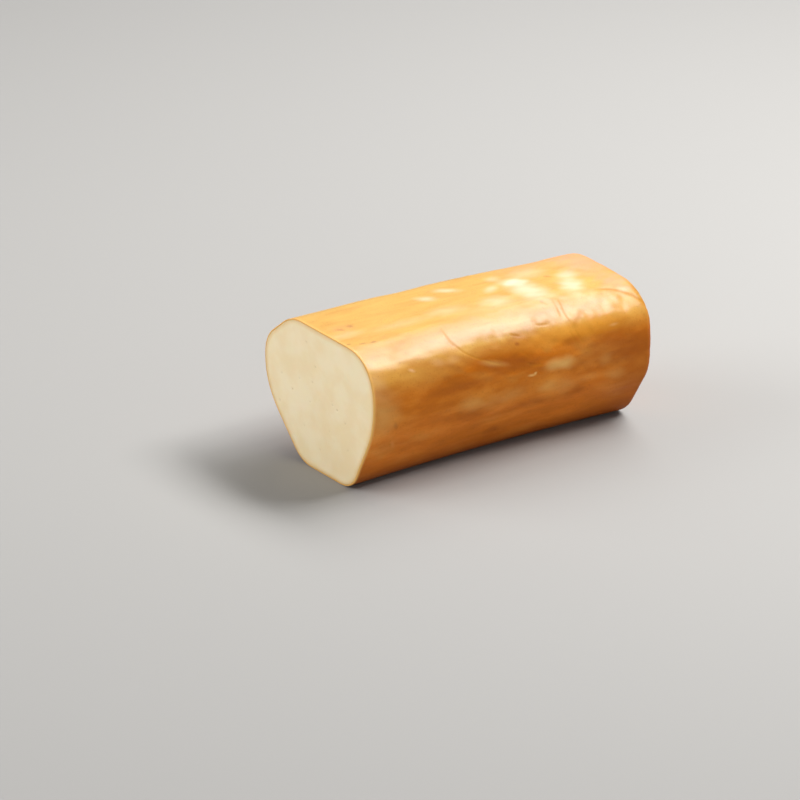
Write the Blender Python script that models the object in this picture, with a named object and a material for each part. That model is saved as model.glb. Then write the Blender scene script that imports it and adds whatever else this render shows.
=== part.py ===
"""Smoked scamorza: the loaf of a smoked stretched-curd cheese, cut across at its front end, as one solid.

The loaf lies along Y, with the cut face at the front (-Y) and the closed end at the back (+Y). Across, its outline
is a broad, nearly flat crown with a long-radius shoulder on each side, upright cheeks, and flanks that run in to a
narrow flat foot. The outline at the cut and the outline at the closed end differ a little, as a hand-pressed loaf's
do, and the skin is lofted from one to the other. On it lie the low swells and dents of a soft cheese that was
pressed, smoked and handled.
"""
import math

import bpy
import numpy as np

# ---- Driving dimensions, in metres ----
WIDTH = 0.102
HEIGHT = 0.082
LENGTH = 0.190

# Corners of the outline, anticlockwise seen from the cut face, from the foot up the right side:
# (x as a share of half the width, z as a share of the height, radius of the arc that rounds the corner)
CUT_OUTLINE = (
    (0.585, 0.00, 0.0155),  # foot, right
    (1.00, 0.51, 0.061),  # cheek, right
    (0.967, 0.992, 0.0245),  # shoulder, right
    (-0.53, 1.00, 0.027),  # left edge of the crown
    (-1.00, 0.77, 0.020),  # shoulder, left
    (-1.00, 0.42, 0.042),  # cheek, left
    (-0.34, 0.00, 0.020),  # foot, left
)
END_OUTLINE = (
    (0.577, 0.00, 0.019),
    (0.963, 0.395, 0.024),
    (0.948, 0.975, 0.026),
    (-0.38, 1.00, 0.034),
    (-0.98, 0.766, 0.018),
    (-0.98, 0.42, 0.042),
    (-0.34, 0.00, 0.020),
)
OUTLINE_SOFTENING = 0.004  # length over which arcs and straights run into one another
TAPER_START, TAPER_END = 0.41, 0.95  # shares of the length between which the outline changes
FLANK_HOLLOW = 0.0032  # how far the right flank's foot is drawn in at the middle of the length

# The cut: a plane a little askew, very slightly hollow from the drag of the knife
CUT_SKEW = 0.022  # metres of Y for each metre of X
CUT_HOLLOW = 0.0004

# The closed end: a rounded rim round a low dome with a shallow hollow in it
RIM_RADIUS = 0.0052
DOME_RISE = 0.0022
END_HOLLOW_DEPTH = 0.0012
END_HOLLOW_PLACE = (0.010, 0.046)  # x, z
END_HOLLOW_RADIUS = 0.017

# Low swells of the skin: (height, wavelength along, phase, wavelength round, phase)
SWELLS = (
    (0.00028, 0.083, 0.6, 0.074, 0.3),
    (0.00015, 0.041, 2.1, 0.052, 1.9),
    (0.00008, 0.023, 4.0, 0.031, 0.8),
)
# Dents: (distance from the cut, distance round from the crown's middle, half length, half width,
# turn in degrees from the length towards the girth, depth); a negative depth is a bump
DENTS = (
    (0.085, 0.0493, 0.0380, 0.0120, 0.0, 0.0016),
    (0.020, 0.0460, 0.0300, 0.0065, 0.0, -0.0003),
    (0.006, 0.0400, 0.0130, 0.0065, 0.0, -0.0003),
    (0.150, 0.0500, 0.0280, 0.0070, 0.0, -0.0008),
    (0.176, 0.0500, 0.0120, 0.0060, 0.0, -0.0003),
    (0.008, 0.0510, 0.0140, 0.0060, 0.0, -0.0003),
    (0.175, -0.0180, 0.0100, 0.0140, 0.0, -0.0006),
    (0.124, 0.0680, 0.0150, 0.0045, 0.0, -0.0005),
    (0.092, 0.0620, 0.0140, 0.0060, 6.0, 0.0006),
    (0.150, 0.0800, 0.0200, 0.0060, 0.0, 0.0006),
    (0.045, 0.0850, 0.0220, 0.0090, 0.0, 0.0005),
    (0.070, -0.0300, 0.0160, 0.0090, 10.0, 0.0006),
    (0.150, -0.0520, 0.0200, 0.0070, -6.0, 0.0008),
    (0.040, -0.0700, 0.0180, 0.0080, 5.0, 0.0007),
)
FOOT_FLAT = 0.0005  # below this height the skin is pressed flat
FOOT_FADE = 0.0220  # above this height the swells and dents have their full depth

# ---- Fineness of the mesh ----
POINTS_ROUND = 84
OUTLINE_FINENESS = 8  # points of the outline while it is being rounded, for each of POINTS_ROUND
ARC_POINTS = 24
STATIONS = 46
RIM_RINGS = 4
DOME_RINGS = 6
CUT_RINGS = 5
SHARP_ANGLE = math.radians(50)  # edges that turn more than this are shaded sharp

# The rind's colour (linear) and roughness
RIND_COLOUR = (0.52, 0.22, 0.05, 1.0)
RIND_ROUGHNESS = 0.35


def smooth_step(low, high, value):
    """0 below low, 1 above high, and an S curve of the third degree between them."""
    share = np.clip((value - low) / (high - low), 0.0, 1.0)
    return share * share * (3.0 - 2.0 * share)


def evenly_spaced(points, count):
    """The closed line through points, read at count places that are the same length apart."""
    closed = np.vstack([points, points[:1]])
    length = np.concatenate([[0.0], np.cumsum(np.hypot(*np.diff(closed, axis=0).T))])
    places = np.linspace(0.0, length[-1], count, endpoint=False)
    return np.stack([np.interp(places, length, closed[:, k]) for k in range(2)], axis=1)


def rounded_outline(corners, count):
    """A polygon whose corners are arcs, from the middle of the foot, softened where an arc meets a straight."""
    place = np.array([(x * WIDTH / 2, z * HEIGHT) for x, z, _ in corners])
    arcs = []
    for index, (_, _, radius) in enumerate(corners):
        corner = place[index]
        back = place[index - 1] - corner
        ahead = place[(index + 1) % len(corners)] - corner
        back /= np.linalg.norm(back)
        ahead /= np.linalg.norm(ahead)
        half_angle = math.acos(np.dot(back, ahead)) / 2
        middle = (back + ahead) / np.linalg.norm(back + ahead)
        centre = corner + middle * radius / math.sin(half_angle)
        reach = radius / math.tan(half_angle)
        start = corner + back * reach - centre
        turn = math.pi - 2 * half_angle
        angles = math.atan2(start[1], start[0]) + turn * np.linspace(0.0, 1.0, ARC_POINTS)
        arcs.append(centre + radius * np.stack([np.cos(angles), np.sin(angles)], axis=1))
    foot_middle = (place[0] + place[-1])[None] / 2
    fine = evenly_spaced(np.vstack([foot_middle] + arcs), OUTLINE_FINENESS * count)
    girth = np.hypot(*(fine - np.roll(fine, 1, axis=0)).T).sum()
    window = max(1, round(OUTLINE_SOFTENING / girth * len(fine)))
    offsets = range(-window, window + 1)
    soft = sum(np.roll(fine, k, axis=0) * (window + 1 - abs(k)) for k in offsets) / (window + 1) ** 2
    soft[:, 1] = np.where(fine[:, 1] < 1e-6, 0.0, soft[:, 1])
    return evenly_spaced(soft, count)


def girth_from_crown(outline):
    """Signed distance round the outline from the top of x = 0, positive down the right side."""
    steps = np.hypot(*(np.roll(outline, -1, axis=0) - outline).T)
    along = np.concatenate([[0.0], np.cumsum(steps)[:-1]])
    total = steps.sum()
    crown = np.argmin(np.abs(outline[:, 0]) + 10 * (HEIGHT - outline[:, 1]))
    crown_place = along[crown] + outline[crown, 0]
    return (crown_place - along + total / 2) % total - total / 2


def skin_relief(along, around):
    """Height of the skin over its plain form: sine swells, less the bell-shaped dents."""
    relief = np.zeros(np.broadcast(along, around).shape)
    for height, wave_along, phase_along, wave_round, phase_round in SWELLS:
        relief = relief + height * (
            np.sin(2 * math.pi * along / wave_along + phase_along)
            * np.cos(2 * math.pi * around / wave_round + phase_round)
        )
    for place, girth, half_length, half_width, turn, depth in DENTS:
        angle = math.radians(turn)
        u = (along - place) * math.cos(angle) + (around - girth) * math.sin(angle)
        v = (around - girth) * math.cos(angle) - (along - place) * math.sin(angle)
        relief = relief - depth * np.exp(-((u / half_length) ** 2) - (v / half_width) ** 2)
    return relief


def skin_rings(along):
    """The lofted skin at each distance along, as an array (ring, point, xyz), with its relief."""
    cut = rounded_outline(CUT_OUTLINE, POINTS_ROUND)
    end = rounded_outline(END_OUTLINE, POINTS_ROUND)
    share = smooth_step(TAPER_START * LENGTH, TAPER_END * LENGTH, along)[:, None, None]
    flat = cut[None] * (1 - share) + end[None] * share
    x, z = flat[..., 0], flat[..., 1]
    girth = girth_from_crown(cut)[None]
    low = smooth_step(0.6 * HEIGHT, 0.1 * HEIGHT, z)
    bow = np.sin(math.pi * np.clip(along / LENGTH, 0, 1))[:, None]
    right = smooth_step(0.0, 0.5, x / (WIDTH / 2))
    x = x - FLANK_HOLLOW * bow * low * right

    tangent = np.roll(flat, -1, axis=1) - np.roll(flat, 1, axis=1)
    outward = np.stack([tangent[..., 1], -tangent[..., 0]], axis=-1)
    outward /= np.linalg.norm(outward, axis=-1, keepdims=True)
    relief = skin_relief(along[:, None], girth) * smooth_step(FOOT_FLAT, FOOT_FADE, z)
    x = x + outward[..., 0] * relief
    z = z + outward[..., 1] * relief
    y = np.broadcast_to(along[:, None], x.shape)
    return np.stack([x, y, np.maximum(z, 0.0)], axis=-1)


def drawn_in(ring, inset):
    """A ring moved towards its own middle by a share that takes inset off half the height."""
    middle = np.array([0.0, 0.0, HEIGHT / 2])
    scale = np.array([1 - inset / (WIDTH / 2), 1.0, 1 - inset / (HEIGHT / 2)])
    return middle + (ring - middle) * scale


def cut_face(ring):
    """Rings from the middle of the cut out to its edge, on the askew plane, hollowed by CUT_HOLLOW."""
    middle = np.array([0.0, 0.0, HEIGHT / 2])
    rings = []
    for share in np.arange(1, CUT_RINGS + 1) / (CUT_RINGS + 1):
        shrunk = middle + (ring - middle) * share
        shrunk[:, 1] = CUT_SKEW * shrunk[:, 0] + CUT_HOLLOW * (1 - share**2)
        rings.append(shrunk)
    return rings


def closed_end(ring):
    """The rounded rim, a quarter circle, and then the low dome with its hollow, drawn in to the middle."""
    rings = []
    for angle in np.linspace(0, math.pi / 2, RIM_RINGS + 1)[1:]:
        turned = drawn_in(ring, RIM_RADIUS * (1 - math.cos(angle)))
        turned[:, 1] += RIM_RADIUS * math.sin(angle)
        rings.append(turned)
    rim = rings[-1]
    middle = np.array([0.0, 0.0, HEIGHT / 2])
    for share in np.linspace(1, 0, DOME_RINGS + 2)[1:-1]:
        dome = middle + (rim - middle) * share
        dome[:, 1] = rim[:, 1] + dome_height(share, dome)
        rings.append(dome)
    return rings


def dome_height(share, points):
    """Rise of the dome over the rim's plane, less the hollow, a bell of END_HOLLOW_RADIUS."""
    distance = np.hypot(points[..., 0] - END_HOLLOW_PLACE[0], points[..., 2] - END_HOLLOW_PLACE[1])
    hollow = END_HOLLOW_DEPTH * np.exp(-((distance / END_HOLLOW_RADIUS) ** 2))
    return DOME_RISE * (1 - share**2) ** 1.5 - hollow * (1 - share**4)


def loaf_points():
    """All rings from the middle of the cut to the middle of the closed end, and the two middles."""
    body_length = LENGTH - RIM_RADIUS - DOME_RISE
    skin = skin_rings(np.linspace(0.0, body_length, STATIONS))
    fade = np.clip(1 - skin[..., 1] / (LENGTH / 3), 0, 1)
    skin[..., 1] += CUT_SKEW * skin[..., 0] * fade
    rings = cut_face(skin[0]) + list(skin) + closed_end(skin[-1])
    cut_middle = np.array([0.0, CUT_HOLLOW, HEIGHT / 2])
    end_middle = np.array([0.0, rings[-1][:, 1].mean(), HEIGHT / 2])
    return np.array(rings), cut_middle, end_middle


def to_true_size(points):
    """Centres the loaf on the origin in x and y, foot at z = 0, and brings its box to the driving dimensions."""
    low, high = points.min(axis=0), points.max(axis=0)
    base = np.array([(low[0] + high[0]) / 2, (low[1] + high[1]) / 2, low[2]])
    return (points - base) * np.array([WIDTH, LENGTH, HEIGHT]) / (high - low)


def loaf_mesh():
    """One closed mesh: quads between neighbouring rings, and a fan of triangles at each middle."""
    rings, cut_middle, end_middle = loaf_points()
    count = len(rings)
    points = to_true_size(np.vstack([rings.reshape(-1, 3), cut_middle, end_middle]))

    faces = []
    for ring in range(count - 1):
        for k in range(POINTS_ROUND):
            after = (k + 1) % POINTS_ROUND
            here, there = ring * POINTS_ROUND, (ring + 1) * POINTS_ROUND
            faces.append((here + k, there + k, there + after, here + after))
    last = (count - 1) * POINTS_ROUND
    cut_index, end_index = len(points) - 2, len(points) - 1
    for k in range(POINTS_ROUND):
        after = (k + 1) % POINTS_ROUND
        faces.append((cut_index, k, after))
        faces.append((end_index, last + after, last + k))

    mesh = bpy.data.meshes.new("scamorza_loaf")
    mesh.from_pydata(points.tolist(), [], faces)
    mesh.shade_smooth()
    mesh.set_sharp_from_angle(angle=SHARP_ANGLE)
    return mesh


def rind_material():
    """Smoked rind: a thin, slightly greasy amber skin."""
    material = bpy.data.materials.new("smoked_rind")
    material.use_nodes = True
    shader = material.node_tree.nodes["Principled BSDF"]
    shader.inputs["Base Color"].default_value = RIND_COLOUR
    shader.inputs["Roughness"].default_value = RIND_ROUGHNESS
    shader.inputs["Metallic"].default_value = 0.0
    return material


def main():
    for old in list(bpy.data.objects):
        bpy.data.objects.remove(old, do_unlink=True)
    loaf = bpy.data.objects.new("scamorza_loaf", loaf_mesh())
    loaf.data.materials.append(rind_material())
    bpy.context.scene.collection.objects.link(loaf)


main()
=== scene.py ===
"""Smoked scamorza: the looks of the cut loaf.

The rind is one closed shell, and the paste inside it is one closed solid that shows at the cut. Both are grids of
points worked out from the loaf's outlines. Rows run from the cut to the closed end, and columns run round the loaf
from the middle of its foot, anticlockwise seen from the cut. A place on the skin is given by two lengths: its
distance from the cut, and its girth, which is the distance round from the middle of the crown, positive down the
right side.
"""
import math

import bpy
import numpy as np
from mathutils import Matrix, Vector


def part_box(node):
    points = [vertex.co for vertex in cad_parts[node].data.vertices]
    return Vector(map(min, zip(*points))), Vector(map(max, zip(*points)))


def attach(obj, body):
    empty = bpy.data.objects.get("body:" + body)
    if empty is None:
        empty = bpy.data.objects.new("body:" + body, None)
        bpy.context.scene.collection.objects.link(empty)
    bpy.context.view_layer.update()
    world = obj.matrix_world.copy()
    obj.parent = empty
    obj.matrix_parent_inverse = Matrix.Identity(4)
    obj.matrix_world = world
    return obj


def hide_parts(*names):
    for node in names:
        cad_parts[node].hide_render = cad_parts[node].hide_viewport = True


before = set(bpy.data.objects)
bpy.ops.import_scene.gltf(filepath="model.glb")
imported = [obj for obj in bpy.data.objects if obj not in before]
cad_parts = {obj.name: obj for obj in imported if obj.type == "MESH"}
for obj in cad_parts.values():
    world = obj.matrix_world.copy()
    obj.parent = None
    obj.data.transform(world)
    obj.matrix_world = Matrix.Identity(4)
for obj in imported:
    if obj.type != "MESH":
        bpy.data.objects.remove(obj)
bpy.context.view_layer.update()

LOAF_LOW, LOAF_HIGH = (np.array(corner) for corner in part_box("scamorza_loaf"))
WIDTH, LENGTH, HEIGHT = LOAF_HIGH - LOAF_LOW
MM = 0.001

# ---- The loaf's form, in metres ----
# Corners of the outline, from the foot up the right side:
# (x as a share of half the width, z as a share of the height, radius of the arc that rounds the corner)
CUT_OUTLINE = (
    (0.585, 0.00, 0.0155),  # foot, right
    (1.00, 0.51, 0.061),  # cheek, right
    (0.967, 0.992, 0.0245),  # shoulder, right
    (-0.53, 1.00, 0.027),  # left edge of the crown
    (-1.00, 0.77, 0.020),  # shoulder, left
    (-1.00, 0.42, 0.042),  # cheek, left
    (-0.34, 0.00, 0.020),  # foot, left
)
END_OUTLINE = (
    (0.577, 0.00, 0.019),
    (0.963, 0.395, 0.024),
    (0.948, 0.975, 0.026),
    (-0.38, 1.00, 0.034),
    (-0.98, 0.766, 0.018),
    (-0.98, 0.42, 0.042),
    (-0.34, 0.00, 0.020),
)
ARC_POINTS = 24
OUTLINE_POINTS = 2400
OUTLINE_SOFTENING = 0.004  # length over which arcs and straights run into one another
TAPER_START, TAPER_END = 0.41, 0.95  # shares of the length between which the outline changes

# The right flank's foot is drawn in by this much at the middle of the length. The hollow sets in between these shares
# of the height, and of half the width.
FLANK_HOLLOW = 0.0032
FLANK_HEIGHTS, FLANK_WIDTHS = (0.6, 0.1), (0.0, 0.5)

# The cut is a plane a little askew and very slightly hollow
CUT_SKEW = 0.022  # metres of Y for each metre of X
SKEW_REACH = LENGTH / 3  # distance from the cut over which the skew dies away
CUT_HOLLOW = 0.0004

# The closed end has a rounded rim round a low dome with a shallow hollow in it
RIM_RADIUS = 0.0052
DOME_RISE = 0.0022
END_HOLLOW_DEPTH = 0.0012
END_HOLLOW_PLACE = (0.010, 0.046)  # x, z
END_HOLLOW_RADIUS = 0.017
BODY_LENGTH = LENGTH - RIM_RADIUS - DOME_RISE

FOOT_FLAT, FOOT_FADE = 0.0005, 0.0220  # heights between which the skin's swells and dents set in

# Low swells of the skin: (height, wavelength along, phase, wavelength round, phase)
SWELLS = (
    (0.00028, 0.083, 0.6, 0.074, 0.3),
    (0.00015, 0.041, 2.1, 0.052, 1.9),
    (0.00008, 0.023, 4.0, 0.031, 0.8),
)
# Dents: (distance from the cut, girth, half length, half width, turn in degrees, depth); a negative depth is a bump
DENTS = (
    (0.085, 0.0493, 0.0380, 0.0120, 0.0, 0.0016),
    (0.020, 0.0460, 0.0300, 0.0065, 0.0, -0.0003),
    (0.006, 0.0400, 0.0130, 0.0065, 0.0, -0.0003),
    (0.150, 0.0500, 0.0280, 0.0070, 0.0, -0.0008),
    (0.176, 0.0500, 0.0120, 0.0060, 0.0, -0.0003),
    (0.008, 0.0510, 0.0140, 0.0060, 0.0, -0.0003),
    (0.175, -0.0180, 0.0100, 0.0140, 0.0, -0.0006),
    (0.124, 0.0680, 0.0150, 0.0045, 0.0, -0.0005),
    (0.092, 0.0620, 0.0140, 0.0060, 6.0, 0.0006),
    (0.150, 0.0800, 0.0200, 0.0060, 0.0, 0.0006),
    (0.045, 0.0850, 0.0220, 0.0090, 0.0, 0.0005),
    (0.070, -0.0300, 0.0160, 0.0090, 10.0, 0.0006),
    (0.150, -0.0520, 0.0200, 0.0070, -6.0, 0.0008),
    (0.040, -0.0700, 0.0180, 0.0080, 5.0, 0.0007),
)

# ---- Fine relief of the rind, in millimetres ----
# Creases: (depth, half width, tint of the groove from 0 to 1, points as (distance from the cut, girth)); a negative
# depth is a ridge. The tint darkens the groove with smoke lying in it and with painted shade
CREASES = (
    # the long crease that runs slantwise down the right shoulder, and its tail
    (0.13, 0.50, 0.55, ((58, 27), (56, 33), (55.8, 38), (58, 44), (62, 49.5), (69, 54.5), (80, 60), (88, 63.5))),
    (0.04, 0.40, 0.30, ((74, 55.5), (79, 57.5), (86, 59.8))),
    # the pair of fine folds straight down the shoulder, with their branches
    (0.05, 0.60, 0.50, ((131.0, 28), (129.9, 34), (129.2, 40), (128.4, 45))),
    (0.07, 0.55, 0.60, ((135, 29), (133.4, 35), (132.2, 40), (132.2, 45), (133.6, 49))),
    (0.05, 0.60, 0.35, ((134, 51), (136, 56), (139, 61))),
    (0.05, 0.50, 0.35, ((130.5, 50), (132, 56), (135.5, 62))),
    (0.02, 1.60, 0.55, ((132, 51.5), (135.5, 48.5), (139, 45.5), (144, 41.0))),
    (0.07, 0.50, 0.50, ((123, 29), (124.5, 32), (126, 34))),
    # short dents under the shoulder
    (0.06, 0.60, 0.55, ((93, 45.6), (96.5, 47.2), (100, 48.8))),
    (0.06, 0.60, 0.50, ((110.6, 43.6), (114, 45.0), (119.5, 45.6))),
    # fine wrinkles of the right flank and the crown
    (0.04, 0.45, 0.25, ((95.5, 55.5), (99, 58.5), (102.5, 62))),
    (0.04, 0.45, 0.25, ((110, 57), (113, 60), (116, 61.5))),
    (0.04, 0.40, 0.25, ((140, 63), (141.5, 65.5), (144, 67))),
    (0.05, 0.45, 0.25, ((146, 0), (148, 3), (151, 4))),
    (0.04, 0.55, 0.20, ((158, 52.5), (161, 53.2), (163.5, 53))),
    (0.04, 0.55, 0.20, ((157, 55), (160, 55.6), (163, 55.2))),
    (0.10, 0.60, 0.25, ((98, 63), (104, 66), (112, 67))),
    (0.05, 0.40, 0.20, ((13, 92), (15.5, 95), (18, 98.5))),
    # the fold over the far end of the shoulder, and the ridge under it
    (0.16, 0.90, 0.80, ((158, 30), (165, 31.2), (172, 34.2), (177.5, 38.5), (182, 43.5), (187, 50), (191, 57))),
    (-0.16, 4.0, 0.0, ((150, 52.5), (165, 53), (178, 53.5), (188, 55))),
    # creases of the left side
    (0.12, 0.60, 0.35, ((20, -62), (31, -58), (44, -60), (52, -65))),
    (0.14, 0.65, 0.35, ((120, -45), (128, -52), (133, -61), (132, -70))),
    (0.10, 0.55, 0.25, ((150, -38), (158, -42), (170, -43))),
)
CREASE_LIP = 0.25  # height of the swollen lips beside a crease, as a share of its depth
LIP_OFFSET = 2.0  # their distance from its middle, in half widths
CREASE_FADE = 0.22  # share of its length over which a crease fades out at each end

# The uneven skin: long streaks all over, wrinkles towards the closed end, lumps that grow away from the cut and fade
# low on the flanks, and knuckles along the right shoulder. Waves are lengths along and round the loaf, in metres.
# Spans are distances from the cut.
STREAK_HEIGHT, STREAK_WAVES = 0.018, (0.055, 0.0065)
WRINKLE_HEIGHT, WRINKLE_WAVES, WRINKLE_SPAN = 0.010, (0.006, 0.012), (135.0, 185.0)
LUMP_HEIGHT, LUMP_WAVES = 0.012, (0.013, 0.016)
LUMP_RISE, LUMP_SPAN = 0.020, (55.0, 100.0)
LUMP_LOSS = 0.75  # share of their height that lumps lose low on the flanks
KNUCKLE_HEIGHT, KNUCKLE_WAVES, KNUCKLE_SPAN = 0.027, (0.009, 0.018), (70.0, 95.0)
KNUCKLE_RISE, KNUCKLE_RISE_SPAN = 0.012, (125.0, 150.0)
KNUCKLE_TOP, KNUCKLE_BOTTOM = (32.0, 42.0), (62.0, 52.0)  # girths between which knuckles set in and end
RELIEF_FOOT = (0.0, 0.012)  # heights over the floor between which the fine relief sets in, in metres
RELIEF_CENTRE = (0.3, 1.0)  # and shares of the closed end's dome, out from its middle

# ---- Colour marks of the rind, in millimetres ----
# Each is (distance from the cut, girth, half length, half width, turn in degrees, strength)
# Where the skin lifted off the smoke: cream on the crown, beige on the flanks. Two by the cut are a painted
# reflection
PALE_PATCHES = (
    # crown
    (73, -6, 6.0, 2.9, 38, 0.46),
    (89, -9.5, 7.0, 3.0, 30, 0.46),
    (127.5, -0.5, 8.0, 5.4, 5, 0.80),
    (127, 13.0, 9.0, 13.0, 0, 0.64),
    (128, 26.0, 11.0, 9.0, 0, 0.20),
    (111, 1.5, 6.5, 3.2, -30, 0.38),
    (120, -10, 4.5, 3.5, 0, 0.32),
    (141, -8, 11, 7.0, 0, 0.28),
    (159, 6.0, 6.4, 5.6, -29, 0.50),
    (153, 12.0, 7.0, 5.5, -30, 0.16),
    (152.0, 19.6, 9.2, 6.6, -49, 0.62),
    (149, 27.0, 8.0, 7.0, 0, 0.12),
    (103, 17.0, 9.0, 6.5, 0, 0.34),
    (100, 24.0, 30.0, 8.0, 0, 0.14),
    (72, 14, 12, 5.5, 0, 0.24),
    (42, 16, 18, 4.5, 0, 0.16),
    (8, 13, 11, 4.0, 0, 0.20),
    # right shoulder and flank
    (118.5, 68.8, 6.5, 3.6, 3, 0.55),
    (126.5, 69.2, 6.0, 3.6, 3, 0.60),
    (103.2, 71.7, 2.6, 0.7, 8, 0.75),
    (105.6, 71.0, 0.9, 0.7, 0, 0.80),
    (79, 59.8, 9, 1.7, 17, 0.30),
    (26.6, 52, 2.2, 0.75, 28, 0.45),
    (44, 51.0, 5.0, 2.4, 20, 0.12),
    (53.5, 52, 4.5, 2.4, 0, 0.12),
    (160, 54, 3.0, 0.8, 0, 0.20),
    (17, 95, 3.5, 0.8, 58, 0.22),
    # These two are a painted reflection: a pale sheen on the right flank by the cut
    (7, 74, 10, 12, 0, 0.34),
    (2, 60, 7, 18, 0, 0.18),
    (176.2, 34.6, 4.0, 2.2, 20, 0.42),
    # low on the right flank
    (65, 81, 8, 5.0, 10, 0.30),
    (78, 83, 10, 5.0, 0, 0.18),
    (92, 81, 9, 4.5, 0, 0.18),
    (116, 81.5, 7, 4.0, 0, 0.30),
    (127, 84, 8, 5.0, 5, 0.24),
    (143, 82, 9, 2.6, 0, 0.16),
    (161, 83.5, 7, 3.2, 12, 0.24),
    (154, 73, 4, 4.0, 0, 0.14),
    # left side
    (60, -62, 14, 8, 10, 0.55),
    (98, -80, 10, 5, -8, 0.45),
    (140, -66, 12, 6, 5, 0.60),
    (25, -84, 9, 5, 0, 0.30),
)
# Where the smoke lay thinner on the flanks, so that the gold shows through
THIN_SMOKE = (
    (116, 55, 5, 6.0, 0, 0.22),
    (140, 62, 6, 8.0, 20, 0.18),
    (70, 64, 10, 3.5, 15, 0.22),
    (48, 60, 12, 4.0, 0, 0.14),
    (12, 98, 9, 7.0, 0, 0.20),
    (34, 96, 9, 4.0, 0, 0.14),
    (95, 70, 10, 3.0, 0, 0.16),
    (80, 97, 12, 4.0, 0, 0.10),
    (120, -80, 14, 6.0, 0, 0.25),
    (40, -70, 16, 6.0, 5, 0.25),
)
# Where the smoke lay thick: spots by the cut, dots in the dents, and broad dusky bands along the flanks
BROWN_MARKS = (
    (10, 5.5, 2.6, 1.3, 40, 0.50),
    (17, 4.2, 1.8, 1.5, 20, 0.50),
    (2.5, 24, 1.6, 1.2, 0, 0.55),
    (9.5, 27, 2.2, 0.8, 0, 0.50),
    (15.5, 28, 1.6, 0.8, 0, 0.50),
    (96.0, 52.2, 1.6, 1.2, 0, 0.60),
    (97, 47.4, 3.2, 0.8, 20, 0.30),
    (124, 30, 1.2, 1.6, 20, 0.45),
    (148, 2.5, 2.2, 1.6, 20, 0.35),
    (84, 36, 3.0, 0.7, 0, 0.20),
    (88, 62.0, 18, 4.5, 3, 0.48),
    (131, 57.5, 7, 2.6, 0, 0.40),
    (135, 89.5, 6, 2.8, 0, 0.24),
    (64, 88.5, 14, 3.8, 5, 0.28),
    (110, 90, 9, 3.0, 0, 0.22),
    (15.5, 81.5, 3.0, 1.2, 62, 0.40),
    (60, 68, 26, 3.0, 0, 0.30),
    (158, 67, 28, 10.0, 0, 0.44),
    (84, 54.5, 38, 6.0, 0, 0.38),
    (38, 55, 24, 7.5, 0, 0.22),
    (101, 47.5, 11, 4.0, 0, 0.26),
    (90, 37.5, 120, 9.0, 0, 0.20),
    (120, 92, 30, 3.5, -2, 0.20),
    (88, 108, 5, 3.0, 0, 0.24),
    (110, -30, 24, 6.0, 3, 0.35),
    (50, -46, 26, 4.0, -3, 0.40),
    (165, -84, 16, 6.0, 0, 0.40),
)
# The reddish tan of the crown's far end, and the honey gold under the right shoulder
TAN_MARKS = (
    (176, -6, 14, 24, 0, 0.80),
    (176, 25, 9, 9, 0, 0.70),
    (150, -17, 26, 8, 0, 0.35),
    (10, 4, 9, 5, 0, 0.20),
)
HONEY_MARKS = (
    (110, 52.5, 42, 6.0, 0, 0.42),
    (150, 53.0, 20, 6.0, 0, 0.30),
)

# Painted shade round the rounded rim of the closed end: distance from the cut, half width, strength
RING_PLACE, RING_HALF_WIDTH, RING_SHARE = 187.0, 4.5, 0.40
# Painted shade along the foot sets in between these girths; the brown of the far flanks, between these distances too
FOOT_SHADE_GIRTHS, FOOT_SHADE_SHARE = (105.5, 121.5), 0.80
FAR_SPAN, FAR_GIRTHS, FAR_SHARE = (142.0, 176.0), (58.0, 78.0), 0.50

# Where a mark's colour starts to fade and where it ends, in half lengths from its middle
SOFT_EDGE, FIRM_EDGE = (0.05, 1.55), (0.30, 1.45)
# How far the marks' edges waver, in half lengths, and shares of it for those that waver more or less
RAGGEDNESS, RAGGED_WAVES = 0.10, (0.014, 0.010)
RAGGED_PALE, RAGGED_THIN, RAGGED_BROWN = 0.6, 2.0, 0.9

# ---- Gloss: the weight of the rind's greasy coat ----
GLOSS_CROWN, GLOSS_FLANK = 0.51, 0.20
# Girths between which it falls on the right, and how much further down that lies, by distance from the cut
GLOSS_RIGHT = (43.2, 56.2)
GLOSS_EDGE = ((0, 2.4), (38, 2.4), (55, 1.2), (75, 0.0), (135, 0.0), (155, 1.4), (185, 2.2))
# What the rounded right shoulder has more of it: weight, girth, half width, distances between which it sets in
SHOULDER_GLOSS, SHOULDER_GIRTH, SHOULDER_HALF_WIDTH, SHOULDER_SPAN = 0.10, 38.5, 4.5, (0.0, 30.0)
GLOSS_GROOVE, GLOSS_END = 0.10, 0.50  # shares of it that the grooves and the closed end keep
GLOSS_END_SPAN = (158.0, 184.0)  # distances from the cut between which it falls towards the closed end
# Shares of it that the low flanks keep, by distance from the cut
GLOSS_LOW = ((15, 1.0), (60, 0.7), (150, 0.6), (175, 0.15))

# ---- Smoke: from the golden crown to the amber flanks, lighter low down with painted light ----
# Girths between which gold turns to amber, on the right and on the left
SMOKE_RIGHT, SMOKE_LEFT = (45.5, 59.5), (-32.0, -54.0)
# How much further down the right flank the gold runs, by distance from the cut
SMOKE_EDGE = ((0, 9.0), (38, 9.0), (55, 5.0), (75, 0.0), (122, 0.0), (142, 2.5), (165, 2.5), (182, 4.0))
# The little smoke that the right shoulder takes above that, and the girths between which it sets in
SHOULDER_SMOKE, SHOULDER_SMOKE_GIRTHS = 0.16, (20.0, 42.0)
LOW_FLANK_GIRTHS = (72.0, 92.0)  # between which the low flanks set in, on both sides; there amber turns lighter, as painted light

# The closed end is coloured by its height instead. That takes hold between these distances from the cut, and turns
# gold to amber, and low down amber to lighter amber as painted light, between these shares of the height. The end is
# evenly brown to this share.
END_SPAN = (186.0, 202.0)
END_SMOKE, END_PAINTED_LIGHT, END_BROWN = (1.02, 0.62), (0.50, 0.10), 0.15

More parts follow.
